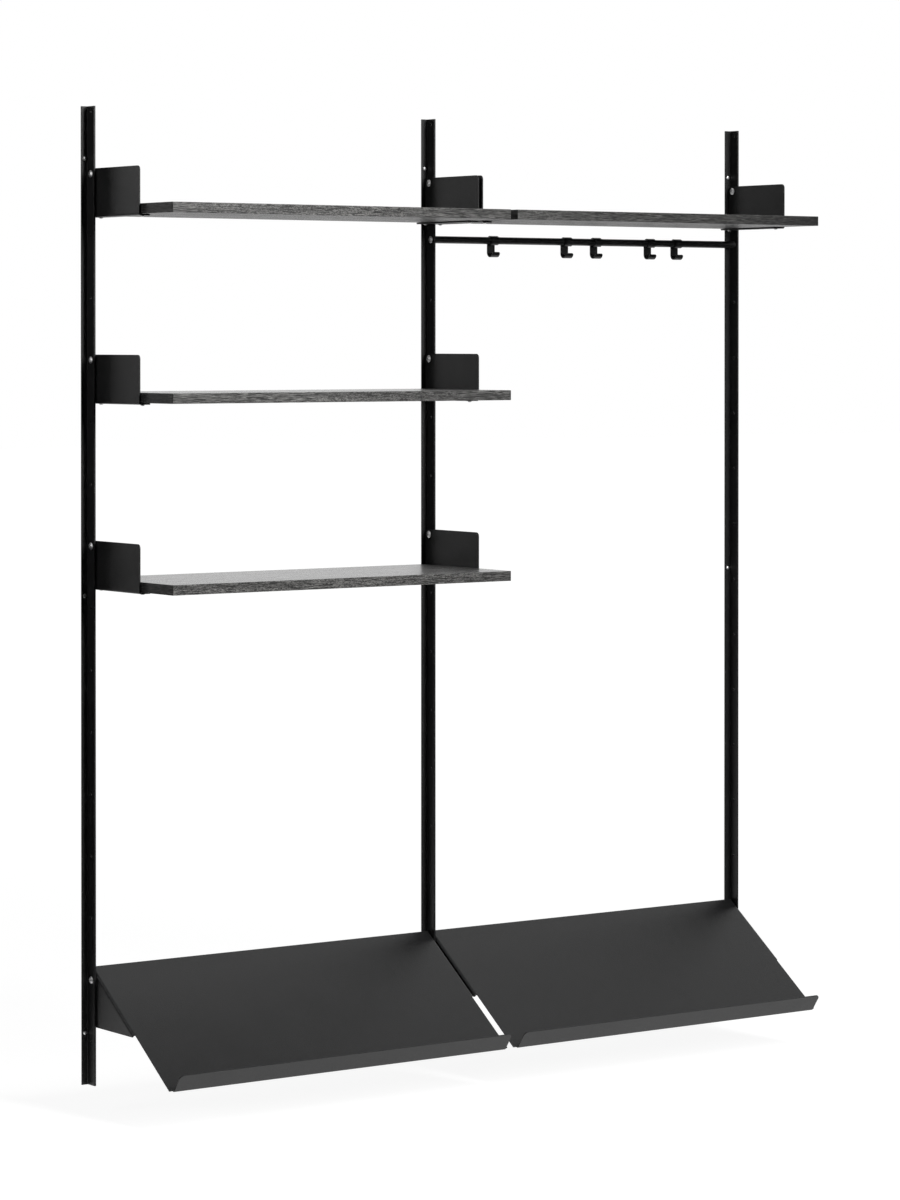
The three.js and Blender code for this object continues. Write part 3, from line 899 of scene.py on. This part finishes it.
def dress_screws():
    """Wall screws point into the wall, and board screws point up into the boards."""
    for start, axis, shank, head_height, turned in (
            ("wall_screw", AXES["y"], WALL_SHANK, WALL_HEAD_HEIGHT, (-QUARTER, 0, 0)),
            ("board_screw", AXES["z"], BOARD_SHANK, BOARD_HEAD_HEIGHT, (0, 0, 0))):
        low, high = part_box(nodes_named(start)[0])
        length = high[axis] - low[axis] - head_height
        model = make_fastener(
            "screw_model", SCREW_SIDES, SCREW_HEAD, head_height, SCREW_RIM, shank, length,
            SCREW_THREAD)
        for cutter in cross_cutters(-head_height):
            carve(model, cutter)
        for node in nodes_named(start):
            seat = box_middle(node)
            seat[axis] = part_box(node)[0][axis] + head_height
            stand_for(twin(model, seat, turned), node, "zinc_steel")
        discard(model)


# Node trees
def put(tree, kind, sockets=(), **settings):
    """Adds a shader node, with numbers set on its sockets and other nodes' outputs linked to them."""
    made = tree.nodes.new(f"ShaderNode{kind}")
    for name, value in settings.items():
        setattr(made, name, value)
    for socket, value in dict(sockets).items():
        if isinstance(value, bpy.types.NodeSocket):
            tree.links.new(value, made.inputs[socket])
        else:
            made.inputs[socket].default_value = value
    return made


def calculate(tree, operation, *values, clamp=False):
    """The result of a sum on numbers or other nodes' outputs."""
    return put(
        tree, "Math", enumerate(values), operation=operation, use_clamp=clamp).outputs["Value"]


def remap(tree, value, low, high, start=0, stop=1):
    """Maps a value from the span low to high onto the span start to stop, and clamps it."""
    return put(tree, "MapRange", {
        "Value": value, "From Min": low, "From Max": high, "To Min": start, "To Max": stop},
    ).outputs["Result"]


def noise(tree, vector, per_metre, detail=2, roughness=0.5):
    """Noise with a number of swells in each metre, from about 0 to 1."""
    return put(tree, "TexNoise", {
        "Vector": vector, "Scale": per_metre, "Detail": detail, "Roughness": roughness},
    ).outputs["Fac"]


def drawn_noise(tree, vector, swells, detail=2, roughness=0.5):
    """Noise drawn out along some axes, with a number of swells in a metre along each axis."""
    drawn = put(tree, "Mapping", {"Vector": vector, "Scale": swells}).outputs["Vector"]
    return noise(tree, drawn, 1, detail, roughness)


def blend_colours(tree, share, first, second):
    """A colour between two others, each a plain colour or another node's output."""
    first, second = [
        colour if isinstance(colour, bpy.types.NodeSocket) else (*colour, 1)
        for colour in (first, second)]
    return put(tree, "Mix", {0: share, 6: first, 7: second}, data_type="RGBA").outputs[2]


def fine_grain_group():
    """Two sizes of soft noise for any surface: a fine grain and broad patches."""
    group = bpy.data.node_groups.new("fine_grain", "ShaderNodeTree")
    for name, kind in (
            ("Vector", "Vector"), ("Grains per Metre", "Float"), ("Patches per Metre", "Float")):
        group.interface.new_socket(name=name, in_out="INPUT", socket_type=f"NodeSocket{kind}")
    for name in ("Grain", "Patches"):
        group.interface.new_socket(name=name, in_out="OUTPUT", socket_type="NodeSocketFloat")
    taken = group.nodes.new("NodeGroupInput").outputs
    given = group.nodes.new("NodeGroupOutput").inputs
    grain = noise(group, taken["Vector"], taken["Grains per Metre"], detail=3)
    patches = noise(
        group, taken["Vector"], taken["Patches per Metre"], detail=4, roughness=0.6)
    group.links.new(remap(group, grain, *GRAIN_SPAN), given["Grain"])
    group.links.new(remap(group, patches, *GRAIN_SPAN), given["Patches"])
    return group


def start_finish(name):
    """A new material with its tree, its shader, and the coordinates of the piece."""
    material = bpy.data.materials.new(name)
    material.use_nodes = True
    tree = material.node_tree
    vector = put(tree, "TexCoord").outputs["Object"]
    return material, tree, tree.nodes["Principled BSDF"].inputs, vector


def add_grain(tree, vector, grains, patches):
    """Places the shared grain in a material and gives its two outputs."""
    grained = put(tree, "Group", node_tree=fine_grain)
    tree.links.new(vector, grained.inputs["Vector"])
    grained.inputs["Grains per Metre"].default_value = grains
    grained.inputs["Patches per Metre"].default_value = patches
    return grained.outputs["Grain"], grained.outputs["Patches"]


def dress_shader(tree, shader, colour, roughness, height, depth):
    """Links a colour, a roughness, and a bump of a depth in metres, to a shader."""
    tree.links.new(colour, shader["Base Color"])
    tree.links.new(roughness, shader["Roughness"])
    bump = put(tree, "Bump", {"Height": height, "Distance": depth})
    tree.links.new(bump.outputs["Normal"], shader["Normal"])


# Finishes
def powder_coat():
    """Black powder coat: satin, with a fine orange peel and faint cloudy patches."""
    material, tree, shader, vector = start_finish("powder_coat")
    grain, patches = add_grain(tree, vector, COAT_GRAINS, COAT_PATCHES)
    colour = blend_colours(tree, patches, COAT_DARK, COAT_PALE)
    roughness = remap(tree, patches, 0, 1, *COAT_ROUGHNESS)
    dress_shader(tree, shader, colour, roughness, grain, COAT_PEEL)
    return material


def zinc_steel():
    """Zinc plated steel: pale metal with a fine tumbled grain."""
    material, tree, shader, vector = start_finish("zinc_steel")
    grain, patches = add_grain(tree, vector, STEEL_GRAINS, STEEL_PATCHES)
    colour = blend_colours(tree, patches, STEEL_DARK, STEEL_PALE)
    roughness = remap(tree, patches, 0, 1, *STEEL_ROUGHNESS)
    dress_shader(tree, shader, colour, roughness, grain, STEEL_SCRATCH)
    shader["Metallic"].default_value = 1
    return material


def oak_figure(tree, along):
    """The oak's fibres, short in some places and long in others, its bands and its pores."""
    bands = drawn_noise(tree, along, OAK_BAND_SWELLS, detail=3)
    short, long = [
        drawn_noise(tree, along, swells, detail=3, roughness=0.65)
        for swells in (OAK_SHORT_SWELLS, OAK_LONG_SWELLS)]
    flow = remap(tree, drawn_noise(tree, along, OAK_FLOW_SWELLS, detail=1), *OAK_FLOW_SPAN)
    fibres = put(tree, "Mix", {0: flow, 2: short, 3: long}).outputs[0]
    pores = remap(tree, drawn_noise(tree, along, OAK_PORE_SWELLS), *OAK_PORE_SPAN)
    return fibres, remap(tree, bands, *OAK_BAND_SPAN, *OAK_BAND_SHARES), pores


def black_oak():
    """Black stained oak veneer: the grain runs along the board, and across it on the end faces, and the
    colour darkens along X as painted shade.
    """
    material, tree, shader, vector = start_finish("black_oak")
    facing = put(tree, "SeparateXYZ", {0: put(tree, "TexCoord").outputs["Normal"]}).outputs
    sideways = calculate(tree, "ABSOLUTE", facing["X"])
    on_end = remap(tree, sideways, *OAK_END_SPAN)
    end_share = remap(tree, sideways, *OAK_END_SPAN, 1, OAK_END_SHARE)
    place = put(tree, "SeparateXYZ", {0: vector}).outputs
    across = put(tree, "CombineXYZ", {0: place["Y"], 1: place["X"], 2: place["Z"]}).outputs[0]
    along = put(tree, "Mix", {0: on_end, 4: vector, 5: across}, data_type="VECTOR").outputs[1]
    fibres, bands, pores = oak_figure(tree, along)
    streaks = calculate(tree, "MULTIPLY", remap(tree, fibres, *OAK_FIBRE_SPAN), bands)
    tone = calculate(tree, "SUBTRACT", streaks, pores, clamp=True)
    # Painted shade: the colour darkens along X, standing in for the highlight falling off to the right,
    # and the end faces are darker as well
    painted_shade_and_dark_ends = calculate(
        tree, "MULTIPLY", remap(tree, place["X"], *OAK_PAINTED_SHADE_X, *OAK_PAINTED_SHADE_SHARES), end_share)
    stained = blend_colours(tree, tone, OAK_DARK, OAK_PALE)
    colour = blend_colours(tree, painted_shade_and_dark_ends, (0, 0, 0), stained)
    grain, patches = add_grain(tree, vector, OAK_GRAINS, OAK_PATCHES)
    height = calculate(
        tree, "SUBTRACT", calculate(tree, "MULTIPLY_ADD", fibres, grain, patches), pores)
    dress_shader(
        tree, shader, colour, remap(tree, tone, 0, 1, *OAK_ROUGHNESS), height, OAK_PORE_DEPTH)
    lacquer = calculate(
        tree, "MULTIPLY", remap(tree, facing["Z"], *OAK_UPWARD_SPAN, *OAK_LACQUER), end_share)
    tree.links.new(lacquer, shader["Coat Weight"])
    shader["Coat Roughness"].default_value = OAK_LACQUER_ROUGHNESS
    return material


# Studio
def add_camera():
    """The camera of the photograph, a little below level so that less shift is needed."""
    camera = bpy.data.cameras.new("camera")
    camera.lens = CAMERA_LENS
    focal_share = CAMERA_LENS / camera.sensor_width
    camera.shift_y = CAMERA_LEVEL_SHIFT + focal_share * math.tan(CAMERA_PITCH)
    holder = bpy.data.objects.new("camera", camera)
    holder.location = CAMERA_PLACE
    holder.rotation_euler = (QUARTER - CAMERA_PITCH, 0, -CAMERA_YAW)
    bpy.context.scene.collection.objects.link(holder)
    bpy.context.scene.camera = holder


def seen_rays(tree):
    """1 for camera, glossy and transmission rays, which see the white studio."""
    path = put(tree, "LightPath").outputs
    seen = path["Is Camera Ray"]
    for ray in ("Is Glossy Ray", "Is Transmission Ray"):
        seen = calculate(tree, "MAXIMUM", seen, path[ray])
    return seen


def light_world():
    """A white studio for the eye, and an even grey fill for the object."""
    world = bpy.data.worlds.new("studio")
    world.use_nodes = True
    tree = world.node_tree
    background = tree.nodes["Background"].inputs
    tree.links.new(remap(tree, seen_rays(tree), 0, 1, FILL, 1), background["Strength"])
    background["Color"].default_value = (1, 1, 1, 1)
    bpy.context.scene.world = world


def add_lamp(name, strength, distance, azimuth, elevation, spread):
    """A round soft lamp aimed at the object, which the camera doesn't see."""
    lamp = bpy.data.lights.new(name, "AREA")
    lamp.shape = "DISK"
    lamp.size = 2 * distance * math.tan(spread / 2)
    lamp.energy = math.pi * distance**2 * strength
    holder = bpy.data.objects.new(name, lamp)
    holder.rotation_euler = (QUARTER - elevation, 0, azimuth)
    away = Vector((0, 0, distance))
    away.rotate(holder.rotation_euler)
    holder.location = LAMP_AIM + away
    holder.visible_camera = False
    bpy.context.scene.collection.objects.link(holder)


def add_lamps():
    """A tall soft light in front, of lamps above one another, and faint ones behind and at the left."""
    for elevation in KEY_ELEVATIONS:
        add_lamp(
            "key", KEY_STRENGTH / len(KEY_ELEVATIONS), KEY_DISTANCE, KEY_AZIMUTH, elevation,
            KEY_SPREAD)
    add_lamp("rim", RIM_STRENGTH, RIM_DISTANCE, RIM_AZIMUTH, RIM_ELEVATION, RIM_SPREAD)
    add_lamp("side", SIDE_STRENGTH, SIDE_DISTANCE, SIDE_AZIMUTH, SIDE_ELEVATION, SIDE_SPREAD)


def bare_material(name):
    """A material with an empty output, and its tree."""
    material = bpy.data.materials.new(name)
    material.use_nodes = True
    tree = material.node_tree
    tree.nodes.remove(tree.nodes["Principled BSDF"])
    return material, tree, tree.nodes["Material Output"].inputs["Surface"]


def add_floor():
    """A pale floor that keeps the object's shadow and fades to white further away."""
    bpy.ops.object.select_all(action="DESELECT")
    bpy.ops.mesh.primitive_plane_add(size=FLOOR_SIZE, location=(0, 0, FLOOR_HEIGHT))
    floor = bpy.context.active_object
    floor.name = "floor"
    material, tree, surface = bare_material("floor")
    seen = seen_rays(tree)
    shade_share = remap(tree, seen, 0, 1, FLOOR_COLOUR, FLOOR_COLOUR * FLOOR_SHADOW_SHARE)
    place = put(tree, "TexCoord").outputs["Object"]
    away = put(tree, "VectorMath", {0: place}, operation="LENGTH").outputs["Value"]
    glow = calculate(tree, "MULTIPLY", seen, remap(tree, away, *FLOOR_FADE, FLOOR_COLOUR, 1))
    matt = put(tree, "BsdfDiffuse", {"Color": shade_share}).outputs[0]
    light = put(tree, "Emission", {"Strength": glow}).outputs[0]
    tree.links.new(put(tree, "AddShader", {0: matt, 1: light}).outputs[0], surface)
    floor.data.materials.append(material)


def open_flags(wanted):
    """Takes some faces out of the flags."""
    pick("FACE", wanted)
    bpy.ops.mesh.delete(type="FACE")


def add_flags():
    """A black box round the front and the left side, which only reflections see."""
    bottom = FLOOR_HEIGHT + FLAG_FLOOR_GAP
    flags = add_block(
        "flags", (FLAG_LEFT, FLAG_FRONT, bottom), (FLAG_RIGHT, FLAG_BACK, FLAG_TOP))
    edit(flags)
    for place in (FLAG_FLOOR_BACK, FLAG_TOP_BACK):
        split_at("y", place)
    corner = Vector((FLAG_FLOOR_LEFT, 0, 0))
    rightwards = Vector((FLAG_BACK, FLAG_FLOOR_LEFT - FLAG_LEFT, 0)).normalized()
    bpy.ops.mesh.select_all(action="SELECT")
    bpy.ops.mesh.bisect(plane_co=corner, plane_no=rightwards)
    open_flags(lambda face: (
        at(face, z=bottom) and middle(face).y > FLAG_FLOOR_BACK
        and rightwards.dot(middle(face) - corner) > 0))
    open_flags(lambda face: (
        not at(face, z=bottom) and not at(face, x=FLAG_LEFT) and middle(face).y > FLAG_TOP_BACK))
    leave()
    material, tree, surface = bare_material("flag")
    mirrored = put(tree, "LightPath").outputs["Is Glossy Ray"]
    clear = put(tree, "BsdfTransparent").outputs[0]
    black = put(tree, "BsdfDiffuse", {"Color": (0, 0, 0, 1)}).outputs[0]
    tree.links.new(put(tree, "MixShader", {0: mirrored, 1: clear, 2: black}).outputs[0], surface)
    flags.data.materials.append(material)


add_camera()
light_world()
add_lamps()
add_floor()
add_flags()

fine_grain = fine_grain_group()
finishes = {"powder_coat": powder_coat(), "black_oak": black_oak(), "zinc_steel": zinc_steel()}
dress_rails()
dress_boards()
dress_brackets()
dress_shoe_shelves()
dress_rod_and_hooks()
dress_bolts()
dress_screws()

bpy.context.scene.view_settings.view_transform = "Standard"
